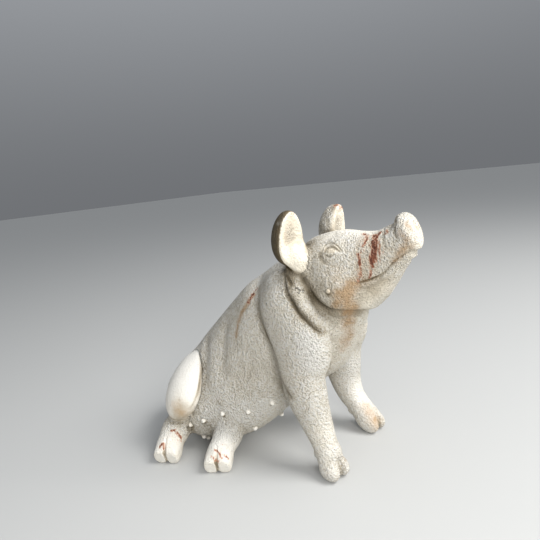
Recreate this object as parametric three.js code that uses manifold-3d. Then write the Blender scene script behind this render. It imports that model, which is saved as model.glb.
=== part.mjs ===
// Life-size garden statue of a seated sow, cast in iron and painted off-white.
// Millimetres, +Z up. The sow faces -Y with her left side toward +X; she sits on her left haunch
// and both hind legs lie out to her right. The body is one smooth form that is parted by thin cuts
// into the pieces a person would name.
import * as THREE from 'three';
import { mergeVertices } from 'three/addons/utils/BufferGeometryUtils.js';
import Module from 'manifold-3d';

const wasm = await Module();
wasm.setup();

// ---- Driving dimensions --------------------------------------------------------------------

const ORIGIN = [-91.12, -70.06, 0]; // middle of the footprint, where the part has its own origin
const GAP = 0.3; // between two neighbouring pieces
const CELL = { trunk: 33, neck: 21, head: 21, leg: 22, trotter: 16 }; // facet sizes
const FAR = 900; // half the size of a cutting block, larger than the statue

// Stations of a form: x, y, z, half width, half depth at the back, half depth at the front, roll.
const TRUNK = {
  stations: [
    [-128, 222, 108, 96, 92, 96, -25],
    [-128, 176, 128, 104, 126, 132, -25],
    [-82, 104, 168, 124, 155, 168, -20],
    [-36, 10, 254, 128, 165, 167, -10],
    [-12, -82, 332, 128, 168, 165, 0],
    [0, -150, 410, 114, 140, 150, 0],
    [0, -200, 470, 96, 110, 122, 0],
  ],
  caps: [66, 60],
};
const FORELEG_RIGHT = {
  stations: [
    [-121, -240, 60, 30, 32, 38, 0],
    [-121, -230, 84, 30, 30, 37, 0],
    [-121, -208, 145, 38, 40, 48, 0],
    [-120, -190, 200, 46, 52, 58, 0],
    [-118, -180, 255, 50, 60, 64, 0],
    [-108, -180, 335, 54, 80, 82, 0],
    [-96, -128, 425, 44, 60, 58, 0],
    [-76, -104, 468, 30, 38, 40, 0],
  ],
  caps: [30, 30],
};
const FORELEG_LEFT = {
  stations: [
    [108, -226, 45, 32, 34, 34, 0],
    [108, -203, 72, 32, 34, 34, 0],
    [107, -185, 96, 35, 37, 38, 0],
    [106, -170, 132, 40, 42, 46, 0],
    [105, -162, 180, 45, 50, 55, 0],
    [104, -168, 250, 50, 62, 56, 0],
    [99, -174, 330, 54, 80, 76, 0],
    [96, -128, 425, 44, 60, 58, 0],
    [76, -104, 468, 30, 38, 40, 0],
  ],
  caps: [30, 30],
};
const HEAD_PLACE = [0, -190, 495]; // where the head's own axes start, between the ears
const HEAD_PITCH = 21; // degrees that the snout is lifted
const HEAD = {
  stations: [
    [0, 20, -10, 78, 78, 95, 0],
    [0, -20, -6, 84, 86, 112, 0],
    [0, -60, -2, 86, 79, 130, 0],
    [0, -100, 0, 77, 67, 136, 0],
    [0, -140, 0, 61, 47, 122, 0],
    [0, -180, 0, 48, 32, 96, 0],
    [0, -210, 0, 41, 32, 73, 0],
    [0, -235, 0, 37, 32, 58, 0],
  ],
  caps: [50, 16],
};
const CHEEK = { place: [50, -48, -62], radii: [50, 62, 66] }; // in the head's own axes
const DISC = { place: [0, -251, 2], flat: 31, half: 3, edge: 13, dish: 4, narrow: 1 / 1.12 };
const NOSTRIL = { apart: 15, rise: 3, radii: [6, 12, 9] };

const HAUNCH_LEFT = { place: [-36, 198, 88], radii: [100, 100, 94], yaw: 10 };
const HAUNCH_RIGHT = { place: [-187, 170, 180], radii: [72, 55, 106], yaw: 60, pitch: -40, roll: 18 };
const RUMP = { place: [-92, 214, 128], radii: [92, 84, 84] };
const HOCK_RIGHT = [[-214, 188, 82, 36], [-246, 186, 64, 36], [-280, 178, 42, 35]];
const HOCK_LEFT = [[-120, 72, 66, 38], [-190, 36, 60, 35], [-236, 22, 42, 34]];
const BRISKET = [[0, -252, 388, 52], [0, -185, 290, 66]];
const NECK_ROLL = [
  [82, -154, 492, 22],
  [95, -176, 456, 27],
  [96, -198, 415, 27],
  [84, -228, 380, 24],
  [58, -246, 358, 16],
];

// A trotter: middle of its two toes, the way it points, half the spread, toe width and height, and
// how far ahead of the middle its flat sole is. The forefeet stand on theirs.
const HIND = { forward: [-0.72, -0.62, -0.12], spread: 19, width: 20, height: 23, sole: 17, blend: 12 };
const TROTTERS = {
  front_right: { place: [-124, -258, 22], forward: [-0.2, -1, 0], spread: 17, width: 19, height: 24, blend: 16 },
  front_left: { place: [109, -245, 22], forward: [-0.15, -1, 0], spread: 16, width: 18, height: 24, blend: 16 },
  hind_right: { place: [-303, 165, 22], ...HIND },
  hind_left: { place: [-260, 10, 22], ...HIND },
};
const TOE_LENGTH = 1.25; // times its height
const DEWCLAW = { radius: 9, apart: 15 };
const PASTERNS = { right: [-122, -200, 50], left: [108, -188, 50] };

const EAR = {
  right: { place: [-96, -166, 588], yaw: -13, roll: 3 },
  left: { place: [100, -178, 582], yaw: 3, roll: 8 },
  lift: -4,
  shell: { place: [0, 2, 0], radii: [38, 45, 66] },
  bowl: { place: [0, -34, 10], radii: [42, 31, 63] },
  taper: 0.0028, // how much narrower it gets with each millimetre of height
  front: -14, // the open face of the shell, on its own front-to-back axis
  root: { place: [68, -180, 560], normal: [0.8, 0, 0.6] },
};
const EYE = { place: [72, -263, 554], radius: 11, sunk: 5 };
const TEAT = { radius: 7.5 };
const TEATS = [
  [-230, 139, 83],
  [-219, 93, 103],
  [-200, 34, 130],
  [-169, -31, 137],
  [-128, -82, 156],
  [-206, 121, 30],
  [-143, -23, 75],
  [-71, -60, 90],
];
// Folds worked into both sides: a route on the body, its width, and its rise (below 0 pressed in).
const FOLDS = [
  { // valley behind the shoulder
    route: [
      [-30, -14, 484],
      [-101, -44, 431],
      [-131, -75, 373],
      [-140, -108, 306],
      [-152, -147, 233],
      [-162, -172, 204],
    ],
    width: 17,
    rise: -8,
  },
  { route: [[-96, -84, 434], [-132, -130, 345], [-136, -150, 300]], width: 26, rise: 4 }, // shoulder
  { route: [[-84, 10, 430], [-140, -30, 320], [-150, -50, 270]], width: 26, rise: 3 }, // ribs
  { // valley in the flank
    route: [[-112, 59, 368], [-134, 58, 334], [-156, 51, 297], [-173, 41, 259], [-185, 22, 216]],
    width: 17,
    rise: -6,
  },
  { // valley before the haunch
    route: [[-112, 142, 305], [-141, 122, 278], [-166, 105, 245], [-182, 96, 210], [-194, 98, 175]],
    width: 14,
    rise: -6,
  },
  { // fold of the neck
    route: [[-92, -140, 512], [-106, -152, 482], [-124, -184, 432], [-129, -202, 413], [-125, -236, 379]],
    width: 11,
    rise: -8,
  },
  { // below the jowl
    route: [[-92, -200, 484], [-92, -226, 442], [-86, -265, 419], [-59, -302, 408], [-30, -306, 402]],
    width: 10,
    rise: -7,
  },
];
const FOLD_FADE = 0.25; // share of a fold's length over which it fades at each end
const TAIL = {
  route: [[-78, 266, 206], [-84, 292, 186], [-104, 300, 162], [-124, 292, 150]],
  radius: 10,
  taper: 1.5,
  block: [[-160, 230, 110], [-40, 340, 250]],
  cell: 9,
  gap: 3.5, // wider than GAP, as its facets and those of its groove differ
};

// Cuts between the pieces: a point and the way the cut faces.
const FLOOR = { place: [0, 0, 0], normal: [0, 0, 1] };
const HEAD_CUT = { place: [0, -235, 472], normal: [0, -0.847, 0.532] };
const NECK_CUT = { place: [0, -170, 437], normal: [0, -0.683, 0.731] };
const FORELEG_CUTS = [
  { place: [57, 0, 0], normal: [1, 0, 0] },
  { place: [0, -124, 110], normal: [0, -0.978, 0.21] },
  { place: [0, 0, 262], normal: [0, 0, -1] },
];
const FORE_PASTERN = { place: [0, 0, 64], normal: [0, 0, 1] };
const HIND_CUTS = {
  right: { place: [-236, 186, 68], normal: [-0.814, -0.255, -0.522], pastern: 42 },
  left: { place: [-200, 33, 54], normal: [-0.857, -0.329, -0.4], pastern: 38 },
};
const SLEEVE = { radius: 54, length: 150 };
const HAUNCH_MARGIN = 9;
const EAR_MARGIN = 8;

// ---- Vectors and signed distances ----------------------------------------------------------

const radians = THREE.MathUtils.degToRad;
const clamp = THREE.MathUtils.clamp;
const sub = (a, b) => [a[0] - b[0], a[1] - b[1], a[2] - b[2]];
const dot = (a, b) => a[0] * b[0] + a[1] * b[1] + a[2] * b[2];
const cross = (a, b) => [
  a[1] * b[2] - a[2] * b[1],
  a[2] * b[0] - a[0] * b[2],
  a[0] * b[1] - a[1] * b[0],
];
const scale = (a, s) => [a[0] * s, a[1] * s, a[2] * s];
const add = (a, b) => [a[0] + b[0], a[1] + b[1], a[2] + b[2]];
const size = (a) => Math.hypot(a[0], a[1], a[2]);
const unit = (a) => scale(a, 1 / size(a));
const mix = (a, b, t) => a.map((value, i) => value + (b[i] - value) * t);

// Axes of a piece that faces -Y: yaw turns its front toward +X, pitch lifts it, roll tips its top.
function axesOf(yaw, pitch = 0, roll = 0) {
  const turn = new THREE.Matrix4().makeRotationZ(radians(yaw));
  turn.multiply(new THREE.Matrix4().makeRotationX(-radians(pitch)));
  turn.multiply(new THREE.Matrix4().makeRotationY(radians(roll)));
  const columns = [new THREE.Vector3(), new THREE.Vector3(), new THREE.Vector3()];
  turn.extractBasis(...columns);
  return columns.map((column) => column.toArray());
}

const toLocal = (p, place, axes) => {
  const q = sub(p, place);
  return axes.map((axis) => dot(q, axis));
};

function ellipsoid(p, radii) {
  const near = Math.hypot(p[0] / radii[0], p[1] / radii[1], p[2] / radii[2]);
  const slope = Math.hypot(p[0] / radii[0] ** 2, p[1] / radii[1] ** 2, p[2] / radii[2] ** 2);
  return (near * (near - 1)) / (slope + 1e-9);
}

// Round cone between two balls, each [x, y, z, radius].
function cone(p, a, b) {
  const along = sub(b, a);
  const t = clamp(dot(sub(p, a), along) / dot(along, along), 0, 1);
  return size(sub(p, add(a, scale(along, t)))) - (a[3] + (b[3] - a[3]) * t);
}

// Smooth join of two forms, with a fillet about k wide.
function join(a, b, k) {
  const t = clamp(0.5 + (0.5 * (b - a)) / k, 0, 1);
  return b + (a - b) * t - k * t * (1 - t);
}

function chain(p, balls, k) {
  let value = Infinity;
  for (let i = 1; i < balls.length; i += 1) {
    const link = cone(p, balls[i - 1], balls[i]);
    value = i === 1 ? link : join(value, link, k);
  }
  return value;
}

// A form swept through its stations, with a different half depth behind and in front.
class Loft {
  constructor({ stations, caps }, steps) {
    this.caps = caps;
    this.samples = Loft.smooth(stations, steps);
    const last = this.samples.length - 1;
    this.frames = this.samples.map((sample, i) => {
      const before = this.samples[Math.max(i - 1, 0)];
      const tangent = unit(sub(this.samples[Math.min(i + 1, last)], before));
      const side = unit(sub([1, 0, 0], scale(tangent, tangent[0])));
      const back = cross(tangent, side);
      const [c, s] = [Math.cos(radians(sample[6])), Math.sin(radians(sample[6]))];
      return {
        tangent,
        side: add(scale(side, c), scale(back, s)),
        back: add(scale(side, -s), scale(back, c)),
      };
    });
  }

  // Catmull-Rom curve through the stations, with all their values.
  static smooth(stations, steps) {
    const n = stations.length;
    const ends = [mix(stations[1], stations[0], 2), mix(stations[n - 2], stations[n - 1], 2)];
    const padded = [ends[0], ...stations, ends[1]];
    const samples = [];
    for (let i = 0; i < n - 1; i += 1) {
      const [p0, p1, p2, p3] = padded.slice(i, i + 4);
      for (let k = 0; k < steps; k += 1) {
        const t = k / steps;
        samples.push(p1.map((value, j) => 0.5 * (2 * value + (p2[j] - p0[j]) * t
          + (2 * p0[j] - 5 * value + 4 * p2[j] - p3[j]) * t * t
          + (3 * value - p0[j] - 3 * p2[j] + p3[j]) * t ** 3)));
      }
    }
    samples.push(stations[n - 1]);
    return samples;
  }

  nearest(p) {
    let best = { far: Infinity };
    for (let i = 0; i < this.samples.length - 1; i += 1) {
      const a = this.samples[i];
      const along = sub(this.samples[i + 1], a);
      const t = clamp(dot(sub(p, a), along) / dot(along, along), 0, 1);
      const far = size(sub(p, add(a, scale(along, t))));
      if (far < best.far) best = { far, i, t };
    }
    return best;
  }

  value(p) {
    const { i, t } = this.nearest(p);
    const sample = mix(this.samples[i], this.samples[i + 1], t);
    const [first, second] = [this.frames[i], this.frames[i + 1]];
    const q = sub(p, sample);
    const u = dot(q, unit(mix(first.side, second.side, t)));
    const w = dot(q, unit(mix(first.back, second.back, t)));
    const along = dot(q, mix(first.tangent, second.tangent, t));
    const past = i === 0 && t <= 0 ? Math.min(along, 0) : 0;
    const beyond = i === this.samples.length - 2 && t >= 1 ? Math.max(along, 0) : 0;
    const [, , , width, back, front] = sample;
    const depth = w > 0 ? back : front;
    const end = past < 0 ? past / this.caps[0] : beyond / this.caps[1];
    const ratio = Math.hypot(u / width, w / depth, end);
    const reach = Math.hypot(u, w, past + beyond) / Math.max(ratio, 1e-6);
    const least = Math.min(width, depth) * 0.8;
    return (ratio - 1) * Math.min(Math.max(reach, least), Math.max(width, depth));
  }
}

// ---- The whole body as one field: negative inside, in millimetres --------------------------

const trunk = new Loft(TRUNK, 8);
const forelegs = [new Loft(FORELEG_RIGHT, 6), new Loft(FORELEG_LEFT, 6)];
const skull = new Loft(HEAD, 6);
const headAxes = axesOf(0, HEAD_PITCH);

function toes(p, { place, forward, spread, width, height, sole = FAR }) {
  const front = unit(forward);
  const side = unit(cross(front, [0, 0, 1]));
  const q = toLocal(p, place, [side, front, cross(side, front)]);
  const radii = [width, TOE_LENGTH * height, height];
  const pair = [-spread, spread].map((offset) => ellipsoid([q[0] - offset, q[1], q[2]], radii));
  return Math.max(join(...pair, 5), q[1] - sole);
}

function headForm(p) {
  const q = toLocal(p, HEAD_PLACE, headAxes);
  let value = skull.value(q);
  for (const side of [-1, 1]) {
    const cheek = [CHEEK.place[0] * side, CHEEK.place[1], CHEEK.place[2]];
    value = join(value, ellipsoid(sub(q, cheek), CHEEK.radii), 22);
  }
  return value;
}

function placed(p, { place, radii, yaw = 0, pitch = 0, roll = 0 }) {
  return ellipsoid(toLocal(p, place, axesOf(yaw, pitch, roll)), radii);
}

function smoothBody(p) {
  let value = trunk.value(p);
  value = join(value, placed(p, HAUNCH_LEFT), 55);
  value = join(value, placed(p, RUMP), 40);
  value = join(value, chain(p, HOCK_LEFT, 20), 12);
  for (const leg of forelegs) value = join(value, leg.value(p), 24);
  value = join(value, cone(p, ...BRISKET), 30);
  value = join(value, placed(p, HAUNCH_RIGHT), 4);
  value = join(value, chain(p, HOCK_RIGHT, 20), 10);
  for (const trotter of Object.values(TROTTERS)) {
    value = join(value, toes(p, trotter), trotter.blend);
  }
  for (const side of [-1, 1]) {
    const roll = NECK_ROLL.map(([x, ...rest]) => [x * side, ...rest]);
    value = join(value, chain(p, roll, 12), 16);
  }
  value = join(value, headForm(p), 11);
  return join(value, Math.min(earRoot(p, EAR.right.place), earRoot(p, EAR.left.place)), 15);
}

// The fleshy root of an ear, and the web that runs from its bowl into the head.
function earRoot(p, [x, y, z]) {
  const stalk = cone(p, [0.9 * x, y - 4, z - 36, 25], [0.8 * x, y - 10, z - 70, 26]);
  const web = cone(p, [0.78 * x, y - 21, z - 24, 9], [0.82 * x, y - 20, z - 54, 21]);
  return join(stalk, web, 10);
}

// How far the folds raise the surface at a point.
function foldsAt(p) {
  let rise = 0;
  for (const { lines, width, rise: most } of folds) {
    for (const { points, length } of lines) {
      let best = { far: Infinity, place: 0 };
      for (let i = 1, walked = 0; i < points.length; i += 1) {
        const along = sub(points[i], points[i - 1]);
        const t = clamp(dot(sub(p, points[i - 1]), along) / dot(along, along), 0, 1);
        const far = size(sub(p, add(points[i - 1], scale(along, t))));
        if (far < best.far) best = { far, place: (walked + t * size(along)) / length };
        walked += size(along);
      }
      const ends = Math.min(1, Math.min(best.place, 1 - best.place) / FOLD_FADE);
      rise += most * Math.sqrt(Math.max(ends, 0)) * Math.exp(-((best.far / width) ** 2));
    }
  }
  return rise;
}

const body = (p) => smoothBody(p) - foldsAt(p);

// ---- From the field to faceted solids ------------------------------------------------------

function slope(field, p) {
  return [0, 1, 2].map((axis) => {
    const step = [0, 0, 0];
    step[axis] = 0.5;
    return field(add(p, step)) - field(sub(p, step));
  });
}

function settle(field, p, most) {
  let q = p;
  for (let i = 0; i < 3; i += 1) {
    const g = slope(field, q);
    const steep = Math.max(size(g), 0.2);
    q = sub(q, scale(g, clamp(field(q), -most, most) / (steep * steep)));
  }
  return size(sub(q, p)) < most ? q : p;
}

const folds = FOLDS.map(({ route, width, rise }) => ({
  width,
  rise,
  lines: [-1, 1].map((side) => {
    const points = Loft.smooth(route, 3)
      .map(([x, y, z]) => settle(smoothBody, [x * -side, y, z], 40));
    const length = points.slice(1).reduce((sum, p, i) => sum + size(sub(p, points[i])), 0);
    return { points, length };
  }),
}));

// Closed facets where the field is zero: a vertex in every cell of the grid that the surface
// passes through and a square around every grid edge that it crosses. The outermost grid points
// count as outside, so a form that runs out of the block ends in a flat there.
function facets(field, lo, hi, cell) {
  const n = lo.map((value, axis) => Math.ceil((hi[axis] - value) / cell) + 1);
  const at = (i, j, k) => (i * n[1] + j) * n[2] + k;
  const values = new Float64Array(n[0] * n[1] * n[2]);
  const everyCell = (last, visit) => {
    for (let i = 0; i < n[0] - last; i += 1) {
      for (let j = 0; j < n[1] - last; j += 1) {
        for (let k = 0; k < n[2] - last; k += 1) visit(i, j, k);
      }
    }
  };
  everyCell(0, (i, j, k) => {
    const rim = [i, j, k].some((index, axis) => index === 0 || index === n[axis] - 1);
    const value = field([lo[0] + i * cell, lo[1] + j * cell, lo[2] + k * cell]);
    values[at(i, j, k)] = rim ? Math.max(value, cell) : value;
  });

  const vertices = [];
  const index = new Int32Array(values.length).fill(-1);
  everyCell(1, (i, j, k) => {
    const crossings = [];
    for (let corner = 0; corner < 8; corner += 1) {
      const c = [corner & 1, (corner >> 1) & 1, (corner >> 2) & 1];
      for (let axis = 0; axis < 3; axis += 1) {
        if (c[axis] === 0) {
          const d = c.map((value, other) => (other === axis ? 1 : value));
          const a = values[at(i + c[0], j + c[1], k + c[2])];
          const b = values[at(i + d[0], j + d[1], k + d[2])];
          if (a < 0 !== b < 0) crossings.push(mix(c, d, a / (a - b)));
        }
      }
    }
    if (crossings.length === 0) return;
    const middle = scale(crossings.reduce(add), 1 / crossings.length);
    const p = add(lo, scale(add([i, j, k], middle), cell));
    const inner = [i, j, k].every((value, axis) => value > 0 && value < n[axis] - 2);
    index[at(i, j, k)] = vertices.length;
    vertices.push(inner ? settle(field, p, cell / 2) : p);
  });

  const triangles = [];
  everyCell(0, (i, j, k) => {
    const inside = values[at(i, j, k)] < 0;
    for (let axis = 0; axis < 3; axis += 1) {
      const end = [i, j, k];
      end[axis] += 1;
      const [u, v] = [(axis + 1) % 3, (axis + 2) % 3];
      const open = end[axis] < n[axis] && end[u] > 0 && end[v] > 0;
      if (open && inside !== values[at(...end)] < 0) {
        const ring = [[0, 0], [1, 0], [1, 1], [0, 1]].map(([du, dv]) => {
          const around = [i, j, k];
          around[u] -= du;
          around[v] -= dv;
          return index[at(...around)];
        });
        if (!inside) ring.reverse();
        triangles.push(ring[0], ring[1], ring[2], ring[0], ring[2], ring[3]);
      }
    }
  });
  const geometry = new THREE.BufferGeometry();
  geometry.setAttribute('position', new THREE.Float32BufferAttribute(vertices.flat(), 3));
  geometry.setIndex(triangles);
  return geometry;
}

function solid(geometry) {
  const bare = geometry.clone();
  bare.deleteAttribute('normal');
  bare.deleteAttribute('uv');
  const merged = mergeVertices(bare, 1e-3);
  return new wasm.Manifold(new wasm.Mesh({
    numProp: 3,
    vertProperties: Float32Array.from(merged.attributes.position.array),
    triVerts: Uint32Array.from(merged.index.array),
  }));
}

function place(geometry, at, axes) {
  const matrix = new THREE.Matrix4();
  if (axes) matrix.makeBasis(...axes.map((axis) => new THREE.Vector3(...axis)));
  matrix.setPosition(...at);
  return geometry.applyMatrix4(matrix);
}

// Everything on the side of a plane that its normal points to, as a large block.
function beyond({ place: at, normal }, shift = 0) {
  const up = unit(normal);
  const side = unit(cross(Math.abs(up[0]) > 0.7 ? [0, 1, 0] : [1, 0, 0], up));
  const block = new THREE.BoxGeometry(2 * FAR, 2 * FAR, 2 * FAR);
  return solid(place(block, add(at, scale(up, FAR + shift)), [side, cross(up, side), up]));
}

const flipped = ({ place: at, normal }) => ({ place: at, normal: scale(normal, -1) });
const mirrored = ([x, y, z], side) => [x * side, y, z];

function ball(at, radii, axes, across = 16, down = 10) {
  const geometry = new THREE.SphereGeometry(1, across, down);
  geometry.scale(...radii);
  return solid(place(geometry, at, axes));
}

function smallBall(at, radius) {
  return solid(place(new THREE.OctahedronGeometry(radius, 1), at));
}

// ---- The regions that the cuts leave to each piece, each grown by a margin ------------------

const SIDES = { right: -1, left: 1 };
const common = (solids) => solids.reduce((all, next) => all.intersect(next));
const grownBy = (radii, margin) => radii.map((radius) => radius + margin);

function mirroredCut({ place: at, normal }, side) {
  return { place: mirrored(at, side), normal: mirrored(normal, side) };
}

function forelegRegion(name, margin) {
  return common(FORELEG_CUTS.map((cut) => beyond(mirroredCut(cut, SIDES[name]), -margin)));
}

// The hind leg lies in a round sleeve that starts at its cut.
function hindlegRegion(name, margin) {
  const { place: at, normal } = HIND_CUTS[name];
  const axis = unit(normal);
  const side = unit(cross(axis, [0, 0, 1]));
  const { radius, length } = SLEEVE;
  const sleeve = new THREE.CylinderGeometry(radius + margin, radius + margin, length, 14);
  const middle = add(at, scale(axis, length / 2 - margin));
  return solid(place(sleeve, middle, [side, axis, cross(side, axis)]));
}

function haunchRegion(margin) {
  const { place: at, radii, yaw, pitch, roll } = HAUNCH_RIGHT;
  return ball(at, grownBy(radii, HAUNCH_MARGIN + margin), axesOf(yaw, pitch, roll), 15, 9);
}

function earBall(name, { place: at, radii }, margin = 0) {
  const { place: middle, yaw, roll } = EAR[name];
  const axes = axesOf(yaw, EAR.lift, roll);
  const geometry = new THREE.SphereGeometry(1, 16, 11);
  geometry.scale(...grownBy(radii, margin));
  geometry.translate(...at);
  const points = geometry.attributes.position;
  for (let i = 0; i < points.count; i += 1) {
    points.setX(i, points.getX(i) * (1 - EAR.taper * points.getZ(i)));
  }
  return solid(place(geometry, middle, axes));
}

function earRegion(name, margin) {
  const root = beyond(mirroredCut(EAR.root, SIDES[name]), -margin);
  return root.intersect(earBall(name, EAR.shell, EAR_MARGIN + margin));
}

// ---- The pieces ----------------------------------------------------------------------------

const floorUp = beyond(FLOOR);
const blockOf = (lo, hi, cell) => solid(facets(body, lo, hi, cell)).intersect(floorUp);
const onBody = (p) => settle(body, p, 40);
const outward = (p) => unit(slope(body, p));

function eyeBall(side, margin) {
  const at = onBody(mirrored(EYE.place, side));
  return ball(sub(at, scale(outward(at), EYE.sunk)), grownBy(Array(3).fill(EYE.radius), margin), undefined, 10, 7);
}

function discSolid(margin) {
  const { flat, half, edge, dish } = DISC;
  const turns = 20;
  const rim = Array.from({ length: 5 }, (_, i) => {
    const angle = Math.PI * (i / 4 - 0.5);
    const lift = half * Math.sign(angle);
    return [flat + (edge + margin) * Math.cos(angle), lift + (edge + margin) * Math.sin(angle)];
  });
  const back = [0, -half - edge - margin];
  const front = [0, half + edge - dish + margin];
  const profile = [back, ...rim, front].map(([r, z]) => new THREE.Vector2(r, z));
  const geometry = new THREE.LatheGeometry(profile, turns);
  geometry.scale(DISC.narrow, 1, 1);
  const [x, y, z] = headAxes;
  const at = add(HEAD_PLACE, headAxes.map((axis, i) => scale(axis, DISC.place[i])).reduce(add));
  return solid(place(geometry, at, [x, scale(y, -1), scale(z, -1)]));
}

function nostril(side) {
  const local = [side * NOSTRIL.apart, DISC.place[1] - DISC.half - DISC.edge, DISC.place[2] + NOSTRIL.rise];
  const at = add(HEAD_PLACE, headAxes.map((axis, i) => scale(axis, local[i])).reduce(add));
  return ball(at, NOSTRIL.radii, headAxes, 10, 8);
}

function tailSolid(margin) {
  const balls = TAIL.route.map((p, i) => {
    const root = onBody(p);
    const radius = TAIL.radius - i * TAIL.taper;
    return [...add(root, scale(outward(root), radius * 0.6)), radius];
  });
  return solid(facets((p) => chain(p, balls, 4) - margin, ...TAIL.block, TAIL.cell));
}

function trunkPiece() {
  const form = blockOf([-285, -338, -33], [190, 325, 570], CELL.trunk);
  const nubs = TEATS.map((p) => smallBall(onBody(p), TEAT.radius));
  const whole = nubs.reduce((all, nub) => all.add(nub), form);
  const cuts = Object.keys(SIDES).flatMap((name) => [
    forelegRegion(name, GAP),
    hindlegRegion(name, GAP),
  ]);
  return [...cuts, haunchRegion(GAP), tailSolid(TAIL.gap), beyond(NECK_CUT, -GAP / 2)]
    .reduce((rest, cut) => rest.subtract(cut), whole)
    .intersect(floorUp);
}

function neckPiece() {
  const form = blockOf([-170, -345, 290], [170, -20, 610], CELL.neck);
  return [beyond(HEAD_CUT, -GAP / 2), earRegion('right', GAP), earRegion('left', GAP)]
    .reduce((rest, cut) => rest.subtract(cut), form.intersect(beyond(NECK_CUT, GAP / 2)));
}

function headPiece() {
  const form = blockOf([-125, -480, 320], [125, -120, 660], CELL.head);
  const cuts = [earRegion('right', GAP), earRegion('left', GAP), discSolid(GAP)];
  return [...cuts, eyeBall(-1, GAP), eyeBall(1, GAP)]
    .reduce((rest, cut) => rest.subtract(cut), form.intersect(beyond(HEAD_CUT, GAP / 2)));
}

function earPiece(name) {
  const { place: [x, y, z], yaw, roll } = EAR[name];
  const axes = axesOf(yaw, EAR.lift, roll);
  const face = { place: add([x, y, z], scale(axes[1], EAR.front)), normal: axes[1] };
  const shell = earBall(name, EAR.shell).subtract(earBall(name, EAR.bowl)).intersect(beyond(face));
  const root = blockOf([x - 70, y - 70, z - 110], [x + 70, y + 80, z + 20], CELL.leg);
  return shell.add(root).intersect(earRegion(name, 0));
}

function forelegPieces(name) {
  const [x, y] = TROTTERS[`front_${name}`].place;
  const region = forelegRegion(name, 0);
  const leg = blockOf([x - 85, y - 60, 20], [x + 85, y + 170, 300], CELL.leg);
  const claws = [-1, 1].map((side) => {
    const [px, py, pz] = PASTERNS[name];
    return smallBall(onBody([px + side * DEWCLAW.apart, py, pz]), DEWCLAW.radius);
  });
  const trotter = blockOf([x - 70, y - 60, -25], [x + 70, y + 100, 100], CELL.trotter);
  const below = beyond(flipped(FORE_PASTERN), GAP / 2);
  return {
    [`foreleg_${name}`]: leg.intersect(region).intersect(beyond(FORE_PASTERN, GAP / 2)),
    [`trotter_front_${name}`]: trotter.add(claws[0]).add(claws[1]).intersect(region).intersect(below),
  };
}

function hindlegPieces(name) {
  const { place: at, normal, pastern } = HIND_CUTS[name];
  const axis = unit(normal);
  const middle = add(at, scale(axis, 60));
  const form = blockOf(sub(middle, [95, 75, 95]), add(middle, [95, 75, 75]), CELL.trotter);
  const leg = form.intersect(hindlegRegion(name, 0));
  const joint = { place: add(at, scale(axis, pastern)), normal: axis };
  return {
    [`hindleg_${name}`]: leg.intersect(beyond(flipped(joint), GAP / 2)),
    [`trotter_hind_${name}`]: leg.intersect(beyond(joint, GAP / 2)),
  };
}

function haunchPiece() {
  const form = blockOf([-290, 80, 60], [-80, 260, 295], CELL.leg);
  return form.intersect(haunchRegion(0)).subtract(hindlegRegion('right', GAP));
}

const pieces = {
  trunk: trunkPiece(),
  neck: neckPiece(),
  head: headPiece(),
  snout: discSolid(0).subtract(nostril(-1)).subtract(nostril(1)),
  ear_right: earPiece('right'),
  ear_left: earPiece('left'),
  eye_right: eyeBall(-1, 0),
  eye_left: eyeBall(1, 0),
  haunch_right: haunchPiece(),
  tail: tailSolid(0),
  ...forelegPieces('right'),
  ...forelegPieces('left'),
  ...hindlegPieces('right'),
  ...hindlegPieces('left'),
};

const PAINT = { color: 0xd8d3c6, roughness: 0.78, metalness: 0 };
const group = new THREE.Group();
for (const [name, piece] of Object.entries(pieces)) {
  const { vertProperties, triVerts } = piece.getMesh();
  const geometry = new THREE.BufferGeometry();
  geometry.setAttribute('position', new THREE.Float32BufferAttribute(vertProperties, 3));
  geometry.setIndex(Array.from(triVerts));
  const mesh = new THREE.Mesh(geometry, new THREE.MeshStandardMaterial(PAINT));
  mesh.name = name;
  group.add(mesh);
}
group.position.set(...scale(ORIGIN, -1));

export default group;
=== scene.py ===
"""Seated sow, a painted cast-iron garden statue, dressed around its solid model.

The casting is one skin. It starts from the solid pieces, joined and remeshed, and is then drawn onto
the sculptor's form: the same stations and balls that the solids come from, with the folds, lids,
mouth, toes and teats worked into it. Sizes in the forms are millimetres in the sculptor's own axes,
where the sow faces -Y with her left side toward +X. The scene is in metres.
"""
import math

import bpy
import numpy as np
from mathutils import Matrix, Vector


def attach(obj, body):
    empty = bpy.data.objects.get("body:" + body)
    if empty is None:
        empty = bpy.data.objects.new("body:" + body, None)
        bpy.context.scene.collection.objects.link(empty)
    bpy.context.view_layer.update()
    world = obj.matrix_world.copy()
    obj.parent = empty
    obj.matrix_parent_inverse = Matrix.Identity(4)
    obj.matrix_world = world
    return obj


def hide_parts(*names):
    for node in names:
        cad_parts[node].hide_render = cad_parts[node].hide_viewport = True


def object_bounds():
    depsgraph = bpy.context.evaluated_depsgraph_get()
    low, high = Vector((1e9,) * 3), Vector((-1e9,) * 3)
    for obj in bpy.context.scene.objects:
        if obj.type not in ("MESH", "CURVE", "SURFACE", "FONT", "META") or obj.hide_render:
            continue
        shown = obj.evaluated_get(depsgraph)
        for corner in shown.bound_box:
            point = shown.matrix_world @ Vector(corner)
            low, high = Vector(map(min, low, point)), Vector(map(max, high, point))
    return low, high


bl_info = {
    "name": "Seated sow statue",
    "version": (1, 0, 0),
    "blender": (4, 5, 0),
    "location": "3D View > Sidebar > Sow",
    "description": "Dresses the seated sow: casting, eyes, paint, rust and a studio",
    "category": "Object",
}

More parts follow.
